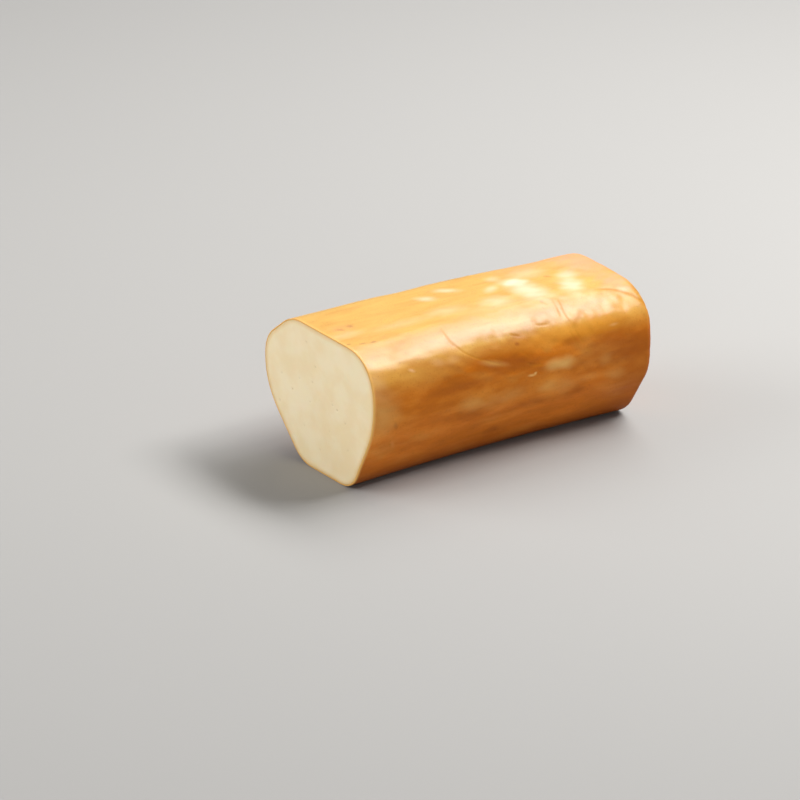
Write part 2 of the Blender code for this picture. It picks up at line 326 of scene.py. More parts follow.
# ---- Fineness of the grids, in millimetres ----
ROW_STEP_FINE, ROW_STEP_WIDE = 0.66, 1.00  # between rows, where most creases lie and elsewhere
ROW_FINE_SPAN = (52.0, 150.0)
FIRST_ROW = 0.8  # the first row behind the lip
COLUMN_STEP_FINE, COLUMN_STEP_WIDE = 0.56, 1.40  # between columns, on the right shoulder and elsewhere
COLUMN_FINE_SPAN = (22.0, 76.0)
STEP_EASE = 8.0  # length over which one step turns into the other
RULER_POINTS = 4000
RIM_RINGS = 9
DOME_RINGS = 22
FACE_RINGS = 84
INNER_ROW_STRIDE = 10  # rows of the outside for each row of the inside

RIND_THICKNESS = 0.9 * MM
PASTE_GAP = 0.05 * MM
# The rind's lip at the cut, from its inner edge to its outer one: (inset, rise along the loaf), in millimetres
LIP_PROFILE = ((0.90, 0.00), (0.62, -0.02), (0.38, -0.01), (0.18, 0.06), (0.05, 0.20), (0.00, 0.40))


def smooth_step(low, high, value):
    """0 below low, 1 above high, and an S curve of the third degree between them."""
    share = np.clip((value - low) / (high - low), 0.0, 1.0)
    return share * share * (3.0 - 2.0 * share)


def linear(hex_code):
    """An sRGB hex colour as linear light, (r, g, b, 1)."""
    shares = [int(hex_code[k : k + 2], 16) / 255 for k in (1, 3, 5)]
    return tuple(s / 12.92 if s <= 0.04045 else ((s + 0.055) / 1.055) ** 2.4 for s in shares) + (1.0,)


def blend(values, end_values, share):
    """values where share is 0, end_values where it is 1, and a mix between."""
    return values * (1 - share) + end_values * share


def broken_line(points, place):
    """Height of the broken line through points, at each place."""
    return np.interp(place, *np.array(points).T)


def line_at(points, shares):
    """The closed line through points, read at the given shares of its length."""
    closed = np.vstack([points, points[:1]])
    length = np.concatenate([[0.0], np.cumsum(np.hypot(*np.diff(closed, axis=0).T))])
    return np.stack([np.interp(shares * length[-1], length, closed[:, k]) for k in range(2)], axis=1)


def rounded_outline(corners):
    """A polygon whose corners are arcs, from the middle of the foot, softened where an arc meets a straight."""
    place = np.array([(x * WIDTH / 2, z * HEIGHT) for x, z, _ in corners])
    arcs = []
    for index, (_, _, radius) in enumerate(corners):
        corner = place[index]
        back = place[index - 1] - corner
        ahead = place[(index + 1) % len(corners)] - corner
        back /= np.linalg.norm(back)
        ahead /= np.linalg.norm(ahead)
        half_angle = math.acos(np.dot(back, ahead)) / 2
        middle = (back + ahead) / np.linalg.norm(back + ahead)
        centre = corner + middle * radius / math.sin(half_angle)
        start = corner + back * radius / math.tan(half_angle) - centre
        turn = math.pi - 2 * half_angle
        angles = math.atan2(start[1], start[0]) + turn * np.linspace(0.0, 1.0, ARC_POINTS)
        arcs.append(centre + radius * np.stack([np.cos(angles), np.sin(angles)], axis=1))
    foot_middle = (place[0] + place[-1])[None] / 2
    fine = line_at(np.vstack([foot_middle] + arcs), np.arange(OUTLINE_POINTS) / OUTLINE_POINTS)
    window = max(1, round(OUTLINE_SOFTENING / line_length(fine) * len(fine)))
    offsets = range(-window, window + 1)
    soft = sum(np.roll(fine, k, axis=0) * (window + 1 - abs(k)) for k in offsets) / (window + 1) ** 2
    soft[:, 1] = np.where(fine[:, 1] < 1e-6, 0.0, soft[:, 1])
    return soft


def line_length(points):
    """Length of the closed line through points."""
    return np.hypot(*(points - np.roll(points, 1, axis=0)).T).sum()


CUT_LINE = rounded_outline(CUT_OUTLINE)
END_LINE = rounded_outline(END_OUTLINE)
GIRTH = line_length(CUT_LINE)
# Share of the way round, from the middle of the foot, at which the crown crosses x = 0
CROWN_SHARE = np.argmin(np.abs(CUT_LINE[:, 0]) + 10 * (HEIGHT - CUT_LINE[:, 1])) / OUTLINE_POINTS


def spaced(low, high, fine_low, fine_high, fine_step, wide_step):
    """Places from low to high whose spacing is fine_step inside the fine span and wide_step outside it."""
    ruler = np.linspace(low, high, RULER_POINTS)
    inside = smooth_step(fine_low - STEP_EASE, fine_low, ruler)
    inside = inside * smooth_step(fine_high + STEP_EASE, fine_high, ruler)
    density = inside / fine_step + (1 - inside) / wide_step
    total = np.concatenate([[0.0], np.cumsum((density[1:] + density[:-1]) / 2 * np.diff(ruler))])
    return np.interp(np.linspace(0, total[-1], round(total[-1]) + 1), total, ruler)


def plane_waves(along, share, wave_along, wave_round, seed, count=14):
    """Smooth uneven height with a spread near 1: seeded sine waves of about those lengths along and round, each a
    whole number of times round the loaf."""
    draw = np.random.default_rng(seed)
    height = np.zeros(np.broadcast(along, share).shape)
    for _ in range(count):
        turns = round(draw.uniform(0.4, 1.6) * GIRTH / wave_round)
        pitch = draw.uniform(0.5, 1.5) / wave_along * draw.choice((-1, 1))
        height += np.sin(2 * math.pi * (pitch * along + turns * share) + draw.uniform(0, 2 * math.pi))
    return height / math.sqrt(count / 2)


def bell(along, girth, mark):
    """exp(-u^2 - v^2), where u and v are distances from the mark along its own turned axes, in half lengths."""
    place, mark_girth, half_length, half_width, turn = mark[:5]
    angle = math.radians(turn)
    u = (along - place) * math.cos(angle) + (girth - mark_girth) * math.sin(angle)
    v = (girth - mark_girth) * math.cos(angle) - (along - place) * math.sin(angle)
    return np.exp(-((u / half_length) ** 2) - (v / half_width) ** 2)


def smooth_path(points, steps=12):
    """A Catmull-Rom curve through points."""
    points = np.array(points, float)
    ends = np.vstack([2 * points[0] - points[1], points, 2 * points[-1] - points[-2]])
    t = np.linspace(0, 1, steps, endpoint=False)[:, None]
    pieces = []
    for a, b, c, d in zip(ends[:-3], ends[1:-2], ends[2:-1], ends[3:]):
        square, cube = 2 * a - 5 * b + 4 * c - d, 3 * b - a - 3 * c + d
        pieces.append(0.5 * (2 * b + (c - a) * t + square * t**2 + cube * t**3))
    return np.vstack(pieces + [points[-1:]])


def distance_to_path(along, girth, path):
    """Distance from each place to a path, and the share of the path's length at its nearest point."""
    best = np.full(along.shape, 1e9)
    share = np.zeros(along.shape)
    runs = np.hypot(*np.diff(path, axis=0).T)
    starts = np.concatenate([[0.0], np.cumsum(runs)])
    for k, run in enumerate(runs):
        step = (path[k + 1] - path[k]) / run
        reach = np.clip((along - path[k, 0]) * step[0] + (girth - path[k, 1]) * step[1], 0, run)
        distance = np.hypot(along - path[k, 0] - reach * step[0], girth - path[k, 1] - reach * step[1])
        nearer = distance < best
        best = np.where(nearer, distance, best)
        share = np.where(nearer, (starts[k] + reach) / starts[-1], share)
    return best, share


def skin_relief(along, girth):
    """Height of the skin over its plain form, in metres: sine swells, less the bell-shaped dents."""
    relief = np.zeros(np.broadcast(along, girth).shape)
    for height, wave_along, phase_along, wave_round, phase_round in SWELLS:
        relief = relief + height * (
            np.sin(2 * math.pi * along / wave_along + phase_along)
            * np.cos(2 * math.pi * girth / wave_round + phase_round)
        )
    for dent in DENTS:
        relief = relief - dent[5] * bell(along, girth, dent)
    return relief


def drawn_in(ring, inset):
    """A ring moved towards its own middle by a share that takes inset off half the height."""
    middle = np.array([0.0, 0.0, HEIGHT / 2])
    scale = np.array([1 - inset / (WIDTH / 2), 1.0, 1 - inset / (HEIGHT / 2)])
    return middle + (ring - middle) * scale


def skin_form(along, share):
    """The lofted skin, (row, column, xyz): the cut's outline turning into the end's, drawn in low on the right
    flank, and raised along its own normal by skin_relief, which fades out towards the foot."""
    taper = smooth_step(TAPER_START * LENGTH, TAPER_END * LENGTH, along)[:, None, None]
    flat = blend(line_at(CUT_LINE, share)[None], line_at(END_LINE, share)[None], taper)
    x, z = flat[..., 0], flat[..., 1]
    low = smooth_step(*FLANK_HEIGHTS, z / HEIGHT)
    bow = np.sin(math.pi * np.clip(along / LENGTH, 0, 1))[:, None]
    right = smooth_step(*FLANK_WIDTHS, x / (WIDTH / 2))
    x = x - FLANK_HOLLOW * bow * low * right
    tangent = np.roll(flat, -1, axis=1) - np.roll(flat, 1, axis=1)
    outward = np.stack([tangent[..., 1], -tangent[..., 0]], axis=-1)
    outward /= np.linalg.norm(outward, axis=-1, keepdims=True)
    girth = girth_at(share)[None]
    relief = skin_relief(along[:, None], girth) * smooth_step(FOOT_FLAT, FOOT_FADE, z)
    y = along[:, None] + CUT_SKEW * x * np.clip(1 - along[:, None] / SKEW_REACH, 0, 1)
    return np.stack([x + outward[..., 0] * relief, y, np.maximum(z + outward[..., 1] * relief, 0)], axis=-1)


def girth_at(share):
    """Signed distance round from the middle of the crown, in metres, positive down the right side."""
    return ((CROWN_SHARE - share + 0.5) % 1 - 0.5) * GIRTH


def end_form(ring):
    """Rings from the skin's last one to the middle of the closed end: a quarter circle, then the low dome
    DOME_RISE (1 - s^2)^1.5 over the rim's plane, less a bell-shaped hollow."""
    rings = []
    for angle in np.linspace(0, math.pi / 2, RIM_RINGS + 1)[1:]:
        turned = drawn_in(ring, RIM_RADIUS * (1 - math.cos(angle)))
        turned[:, 1] += RIM_RADIUS * math.sin(angle)
        rings.append(turned)
    rim = rings[-1]
    middle = np.array([0.0, 0.0, HEIGHT / 2])
    for share in np.linspace(1, 0, DOME_RINGS + 2)[1:-1]:
        dome = middle + (rim - middle) * share
        distance = np.hypot(dome[:, 0] - END_HOLLOW_PLACE[0], dome[:, 2] - END_HOLLOW_PLACE[1])
        hollow = END_HOLLOW_DEPTH * np.exp(-((distance / END_HOLLOW_RADIUS) ** 2)) * (1 - share**4)
        dome[:, 1] = rim[:, 1] + DOME_RISE * (1 - share**2) ** 1.5 - hollow
        rings.append(dome)
    return np.array(rings)


def grid_normals(grid):
    """Unit normals of a grid whose columns close on themselves, pointing out of the loaf."""
    between_rows = np.gradient(grid, axis=0)
    between_columns = np.roll(grid, -1, axis=1) - np.roll(grid, 1, axis=1)
    normal = np.cross(between_rows, between_columns)
    length = np.linalg.norm(normal, axis=-1, keepdims=True)
    return normal / np.maximum(length, 1e-12)


def crease_field(along, girth):
    """Height from the creases and a mask of their grooves: a bell-shaped groove with a lower lip on each side,
    fading out at both ends of the path. Lengths in millimetres."""
    height = np.zeros(along.shape)
    groove = np.zeros(along.shape)
    for depth, half_width, tint, points in CREASES:
        distance, share = distance_to_path(along, girth, smooth_path(points))
        fade = smooth_step(0, CREASE_FADE, share) * smooth_step(1, 1 - CREASE_FADE, share)
        dip = np.exp(-((distance / half_width) ** 2)) * fade
        lips = np.exp(-(((distance - LIP_OFFSET * half_width) / half_width) ** 2)) * fade
        height += depth * (CREASE_LIP * lips - dip)
        groove = np.maximum(groove, dip * tint)
    return height, groove


def mark_field(along, girth, marks, ragged, soft):
    """Coverage from 0 to 1 of a set of marks, joined as 1 - (1 - a)(1 - b)...: each falls from its middle to its
    edge along an S curve, over the span soft in half lengths, and ragged shifts that edge."""
    bare = np.ones(along.shape)
    for mark in marks:
        reach = np.sqrt(-np.log(np.maximum(bell(along, girth, mark), 1e-12)))
        bare *= 1 - mark[5] * smooth_step(soft[1], soft[0], reach + ragged)
    return 1 - bare


def uneven_relief(run, turn, girth, low):
    """Height of the skin's fine unevenness, in millimetres: the sum of streaks, wrinkles, lumps and knuckles, each a
    set of plane waves whose height follows its spans."""
    along = run * MM
    streaks = STREAK_HEIGHT * plane_waves(along, turn, *STREAK_WAVES, seed=3)
    wrinkle_height = WRINKLE_HEIGHT * smooth_step(*WRINKLE_SPAN, run)
    wrinkles = wrinkle_height * plane_waves(along, turn, *WRINKLE_WAVES, seed=5)
    lump_height = (LUMP_HEIGHT + LUMP_RISE * smooth_step(*LUMP_SPAN, run)) * (1 - LUMP_LOSS * low)
    lumps = lump_height * plane_waves(along, turn, *LUMP_WAVES, seed=9)
    knuckle_height = KNUCKLE_HEIGHT + KNUCKLE_RISE * smooth_step(*KNUCKLE_RISE_SPAN, run)
    knuckle_height = knuckle_height * smooth_step(*KNUCKLE_SPAN, run)
    knuckle_height = knuckle_height * smooth_step(*KNUCKLE_TOP, girth) * smooth_step(*KNUCKLE_BOTTOM, girth)
    knuckles = knuckle_height * plane_waves(along, turn, *KNUCKLE_WAVES, seed=12)
    return knuckles + streaks + wrinkles + lumps


def smoke_field(run, girth, ragged):
    """How far gold has turned to amber: an S curve down each side, less the marks of thin smoke."""
    gold_reach = broken_line(SMOKE_EDGE, run)
    right = smooth_step(SMOKE_RIGHT[0], SMOKE_RIGHT[1] + gold_reach, girth)
    right = blend(right, smooth_step(*SHOULDER_SMOKE_GIRTHS, girth), SHOULDER_SMOKE)
    thin = mark_field(run, girth, THIN_SMOKE, RAGGED_THIN * ragged, SOFT_EDGE)
    return np.maximum(right, smooth_step(*SMOKE_LEFT, girth)) * (1 - thin)


def gloss_field(run, girth, low, groove):
    """Weight of the greasy coat: high on the crown, highest on the right shoulder, low on the flanks, and less in
    grooves, low down and towards the closed end."""
    right = smooth_step(*GLOSS_RIGHT, girth - broken_line(GLOSS_EDGE, run))
    flank = np.maximum(right, smooth_step(*SMOKE_LEFT, girth))
    shoulder = np.exp(-(((girth - SHOULDER_GIRTH) / SHOULDER_HALF_WIDTH) ** 2)) * smooth_step(*SHOULDER_SPAN, run)
    gloss = blend(GLOSS_CROWN, GLOSS_FLANK, flank) + SHOULDER_GLOSS * shoulder
    gloss = gloss * blend(1, GLOSS_GROOVE, groove) * blend(1, GLOSS_END, smooth_step(*GLOSS_END_SPAN, run))
    return gloss * blend(1, broken_line(GLOSS_LOW, run), low)


def brown_field(run, girth, ragged):
    """Coverage of the brown marks, the far flanks, and the painted shade of the ring and the foot, joined as 1 - (1 -
    a)(1 - b)...
    """
    marks = mark_field(run, girth, BROWN_MARKS, RAGGED_BROWN * ragged, FIRM_EDGE)
    # Painted shade round the closed end's rounded rim
    ring = RING_SHARE * np.exp(-(((run - RING_PLACE) / RING_HALF_WIDTH) ** 2))
    # Painted shade along the foot, darker towards the floor
    foot = FOOT_SHADE_SHARE * smooth_step(*FOOT_SHADE_GIRTHS, np.abs(girth))
    far = FAR_SHARE * smooth_step(*FAR_SPAN, run) * smooth_step(*FAR_GIRTHS, np.abs(girth))
    return 1 - (1 - marks) * (1 - ring) * (1 - foot) * (1 - far)


def loaf_grid():
    """The loaf's skin from the cut to the middle of the closed end: its points, its normals, and its fields."""
    along_mm = spaced(FIRST_ROW, BODY_LENGTH / MM, *ROW_FINE_SPAN, ROW_STEP_FINE, ROW_STEP_WIDE)
    half_girth = GIRTH / 2 / MM
    girth_mm = spaced(-half_girth, half_girth, *COLUMN_FINE_SPAN, COLUMN_STEP_FINE, COLUMN_STEP_WIDE)[:-1]
    share = np.sort((CROWN_SHARE - girth_mm * MM / GIRTH) % 1.0)
    along = np.concatenate([[0.0], along_mm * MM])
    skin = skin_form(along, share)
    grid = np.concatenate([skin, end_form(skin[-1])])
    lowest, highest = grid.min(axis=(0, 1)), grid.max(axis=(0, 1))
    grid = LOAF_LOW + (grid - lowest) * (LOAF_HIGH - LOAF_LOW) / (highest - lowest)
    normal = grid_normals(grid)

    # Over the closed end, the distance from the cut runs on down the face
    steps = np.linalg.norm(np.diff(grid, axis=0), axis=-1).mean(axis=1)
    run = np.concatenate([[0.0], np.cumsum(steps)])[:, None] / MM * np.ones(len(share))
    girth = girth_at(share)[None] / MM * np.ones((len(grid), 1))
    turn = share[None] * np.ones((len(grid), 1))

    # The low flanks: there amber is lightened with painted light, and the gloss and the lumps fall
    low = smooth_step(*LOW_FLANK_GIRTHS, np.abs(girth))
    crease, groove = crease_field(run, girth)
    centre_fade = np.ones((len(grid), 1))
    centre_fade[-DOME_RINGS:, 0] = smooth_step(*RELIEF_CENTRE, np.linspace(1, 0, DOME_RINGS))
    raised = crease + uneven_relief(run, turn, girth, low) * centre_fade
    foot_fade = smooth_step(*RELIEF_FOOT, grid[..., 2])
    grid = grid + normal * (raised * MM * foot_fade)[..., None]

    ragged = RAGGEDNESS * plane_waves(run * MM, turn, *RAGGED_WAVES, seed=21)
    height_share = grid[..., 2] / HEIGHT
    over_end = smooth_step(*END_SPAN, run)
    honey = mark_field(run, girth, HONEY_MARKS, ragged, SOFT_EDGE)
    tan = mark_field(run, girth, TAN_MARKS, ragged, SOFT_EDGE)
    fields = {
        "pale": mark_field(run, girth, PALE_PATCHES, RAGGED_PALE * ragged, SOFT_EDGE),
        "brown": blend(brown_field(run, girth, ragged), END_BROWN, over_end),
        "honey": honey * (1 - over_end),
        "tan": tan * (1 - over_end),
        "groove": groove * foot_fade,
        "smoke": blend(smoke_field(run, girth, ragged), smooth_step(*END_SMOKE, height_share), over_end),
        "low": blend(low, smooth_step(*END_PAINTED_LIGHT, height_share), over_end),
        "gloss": blend(gloss_field(run, girth, low, groove), GLOSS_FLANK * GLOSS_END, over_end),
    }
    return grid, grid_normals(grid), fields


def placed(name, data):
    """A new object with that data, in the scene."""
    piece = bpy.data.objects.new(name, data)
    bpy.context.scene.collection.objects.link(piece)
    return piece


def closed_mesh(name, rings, first_pole, last_pole):
    """One closed mesh through rings of points, with a fan of triangles at each end."""
    count, columns = rings.shape[:2]
    points = np.vstack([rings.reshape(-1, 3), first_pole, last_pole])
    here = np.arange(count * columns).reshape(count, columns)[:-1]
    after = np.roll(here, -1, axis=1)
    quads = np.stack([here, here + columns, after + columns, after], axis=-1).reshape(-1, 4)
    ring = np.arange(columns)
    last = (count - 1) * columns
    first_fan = np.stack([np.full(columns, len(points) - 2), ring, np.roll(ring, -1)], axis=-1)
    last_fan = np.stack([np.full(columns, len(points) - 1), last + np.roll(ring, -1), last + ring], axis=-1)
    mesh = bpy.data.meshes.new(name)
    mesh.from_pydata(points.tolist(), [], quads.tolist() + first_fan.tolist() + last_fan.tolist())
    mesh.shade_smooth()
    return placed(name, mesh)


def give_field(piece, name, values):
    """Stores one number a point on the piece's mesh."""
    attribute = piece.data.attributes.new(name, "FLOAT", "POINT")
    attribute.data.foreach_set("value", np.ascontiguousarray(values, np.float32))


def inward_rows(grid, normal, inset):
    """Every INNER_ROW_STRIDE-th row, and the last, moved in along the normals by inset."""
    rows = np.unique(np.concatenate([np.arange(0, len(grid), INNER_ROW_STRIDE), [len(grid) - 1]]))
    return grid[rows] - normal[rows] * inset


def level(normals):
    """Normals without their share along the loaf, of unit length again."""
    flat = normals * np.array([1, 0, 1])
    return flat / np.linalg.norm(flat, axis=-1, keepdims=True)


def loaf_rind(grid, normal, fields):
    """The rind: up the inside from the closed end to the cut, over the rounded lip, and back along the outside."""
    inner = inward_rows(grid[1:], normal[1:], RIND_THICKNESS)[::-1]
    outward, ahead = level(normal[0]), np.array([0, MM, 0])
    lip = np.array([grid[0] - outward * inset * MM + ahead * rise for inset, rise in LIP_PROFILE])
    rings = np.concatenate([inner, lip, grid[1:]])
    piece = closed_mesh("loaf_rind", rings, inner[0].mean(axis=0), grid[-1].mean(axis=0))
    columns = grid.shape[1]
    hidden = len(inner) * columns
    for name, values in fields.items():
        lip_values = np.repeat(values[:1], len(lip), axis=0)
        visible = np.concatenate([lip_values, values[1:]]).ravel()
        give_field(piece, name, np.concatenate([np.zeros(hidden), visible, [0.0], [values[-1].mean()]]))
    # The lip and the first row of the outside get a lighter gold: the cut rind's own colour, with a painted highlight
    # along the edge
    lip_mask = np.zeros((len(rings), columns))
    lip_mask[len(inner) : len(inner) + len(lip)] = 1.0
    lip_mask[len(inner) + len(lip)] = 0.5  # the first row of the outside
    give_field(piece, "lip", np.concatenate([lip_mask.ravel(), [0.0, 0.0]]))
    return piece


# ---- The cut face, in millimetres ----
# Ripples across the knife's path: (height, wavelength, turn in degrees, phase)
KNIFE_RIPPLES = ((0.020, 5.3, 62.0, 0.4), (0.012, 2.3, 66.0, 1.9), (0.050, 31.0, 20.0, 2.2))
RIPPLE_BOW = 0.004  # how much the ripples bow, per millimetre
# Low steps where the knife paused: (height, x, z, slope in degrees)
KNIFE_STEPS = ((0.12, 18.0, 66.0, -24.0), (-0.08, -30.0, 30.0, 12.0))
STEP_EDGE, STEP_WIDTH, STEP_LENGTH = 0.8, 14.0, 20.0  # half widths of a step's edge, and how far it reaches
# Small round pits, placed between two corners (x, z), with ranges of radius, stretch and strength
PITS, PIT_CORNERS = 16, ((-38, 12), (38, 72))
PIT_RADIUS, PIT_STRETCH, PIT_STRENGTH = (0.45, 1.0), (1.0, 1.8), (0.4, 1.0)
PIT_EDGE = (1.25, 0.35)  # radii between which a pit's wall falls
PIT_DEPTH = 0.45
FACE_FADE = (1.0, 0.93)  # shares of the way out from the face's middle between which its relief sets in
PASTE_MIDDLE = 40.0  # how far the middle of the face lies from the rind


def face_relief(x, z):
    """Height of the cut face towards the viewer, in millimetres: sine ripples across the knife's path, low S-curve
    steps that die away as a bell, and a few round pits."""
    height = np.zeros(x.shape)
    for tall, wave, turn, phase in KNIFE_RIPPLES:
        angle = math.radians(turn)
        across = x * math.cos(angle) + z * math.sin(angle) + RIPPLE_BOW * x * z
        height += tall * np.sin(2 * math.pi * across / wave + phase)
    for tall, step_x, step_z, slope in KNIFE_STEPS:
        angle = math.radians(slope)
        off = (z - step_z) * math.cos(angle) - (x - step_x) * math.sin(angle)
        along = (x - step_x) * math.cos(angle) + (z - step_z) * math.sin(angle)
        reach = np.exp(-((off / STEP_WIDTH) ** 2) - (along / STEP_LENGTH) ** 2)
        height += tall * smooth_step(-STEP_EDGE, STEP_EDGE, off) * reach
    draw = np.random.default_rng(17)
    pit = np.zeros(x.shape)
    for _ in range(PITS):
        place = draw.uniform(*PIT_CORNERS)
        radius = draw.uniform(*PIT_RADIUS)
        distance = np.hypot(x - place[0], (z - place[1]) * draw.uniform(*PIT_STRETCH))
        wall = smooth_step(PIT_EDGE[0] * radius, PIT_EDGE[1] * radius, distance)
        pit = np.maximum(pit, wall * draw.uniform(*PIT_STRENGTH))
    return height - PIT_DEPTH * pit, pit


def loaf_paste(grid, normal):
    """The paste: the cut face from its middle out, then the sides and the closed end under the rind. The face is the
    askew plane of the cut, hollowed by CUT_HOLLOW (1 - s^2), less face_relief."""
    inset = RIND_THICKNESS + PASTE_GAP
    edge = grid[0] - level(normal[0]) * inset
    middle = np.array([0.0, edge[:, 1].mean(), HEIGHT / 2])
    share = (np.arange(1, FACE_RINGS + 1) / FACE_RINGS)[:, None, None]
    face = middle + (edge[None] - middle) * share
    relief, pit = face_relief(face[..., 0] / MM, face[..., 2] / MM)
    relief = relief * smooth_step(*FACE_FADE, share[..., 0])
    plane = edge[:, 1].mean() + CUT_SKEW * (face[..., 0] - edge[:, 0].mean())
    face[..., 1] = plane + CUT_HOLLOW * (1 - share[..., 0] ** 2) - relief * MM
    face[-1, :, 1] = edge[:, 1]
    sides = inward_rows(grid[1:], normal[1:], inset)
    rings = np.concatenate([face, sides])
    pole = middle + np.array([0, CUT_HOLLOW, 0])
    piece = closed_mesh("loaf_paste", rings, pole, sides[-1].mean(axis=0))
    from_rind = np.linalg.norm((edge[None] - middle) * (1 - share), axis=-1) / MM
    on_sides = np.zeros(len(sides) * grid.shape[1])
    give_field(piece, "from_rind", np.concatenate([from_rind.ravel(), on_sides, [PASTE_MIDDLE, 0.0]]))
    # The pit mask darkens the paste in its material: painted shade
    give_field(piece, "pit", np.concatenate([pit.ravel(), on_sides, [0.0, 0.0]]))
    return piece


# ---- Materials ----
RIND_GOLD = "#CE9F4A"
RIND_AMBER = "#C26C14"
# A lighter amber for the low flanks and the bottom of the closed end: painted light
RIND_AMBER_PAINTED_LIGHT = "#D87A24"
RIND_STREAK = "#A85812"
RIND_HONEY = "#DC9226"
RIND_BROWN = "#8A4312"
RIND_GROOVE = "#B27420"
RIND_CREAM = "#F8D4B8"
# Darker gold for the grooves: smoke lying in them, and painted shade
RIND_BEIGE = "#E4B96C"
RIND_TAN = "#DC9670"
# The lip's lighter gold: the cut rind's colour, with a painted highlight along the edge
RIND_LIP = "#E6B062"
PASTE_IVORY = "#F6E4BE"
PASTE_CREAM = "#F2DCB0"
PASTE_EDGE = "#EBC07A"
# A darker tan for the pits: painted shade
PASTE_PIT_SHADE = "#B59A68"

# Sizes of the rind's and the paste's patterns, in metres. The clouds, the grain and the streaks are drawn out along
# the loaf, by one over their stretch.
CLOUD_SIZE, GRAIN_SIZE, CLOUD_STRETCH = 0.0130, 0.0065, 0.36
STREAK_SIZE, STREAK_STRETCH = 0.0045, 0.14
PORE_SIZE, SPECK_SPACING = 0.0011, 0.0060  # the pores are drawn coarse enough to show
PASTE_CLOUD_SIZE, CURD_SIZE = 0.016, 0.0014


def set_inputs(tree, node, inputs):
    """Sets inputs of a node: a value that is a socket is linked, and a plain one is set."""
    for key, value in inputs.items():
        if isinstance(value, bpy.types.NodeSocket):
            tree.links.new(value, node.inputs[key])
        else:
            node.inputs[key].default_value = value


def add_node(tree, kind, output, inputs=None, **settings):
    """Adds a shader node of that kind with its settings and inputs, and gives that output of it."""
    node = tree.nodes.new("ShaderNode" + kind)
    for name, value in settings.items():
        setattr(node, name, value)
    set_inputs(tree, node, inputs or {})
    return node.outputs[output]


def new_material(name):
    """An empty node material with its Principled shader."""
    material = bpy.data.materials.new(name)
    material.use_nodes = True
    tree = material.node_tree
    return material, tree, tree.nodes["Principled BSDF"]


# Sockets of a Mix node: its factor, its numbers and its colours
FACTOR, NUMBER_A, NUMBER_B, COLOUR_A, COLOUR_B = 0, 2, 3, 6, 7
NUMBER_OUT, COLOUR_OUT = 0, 2


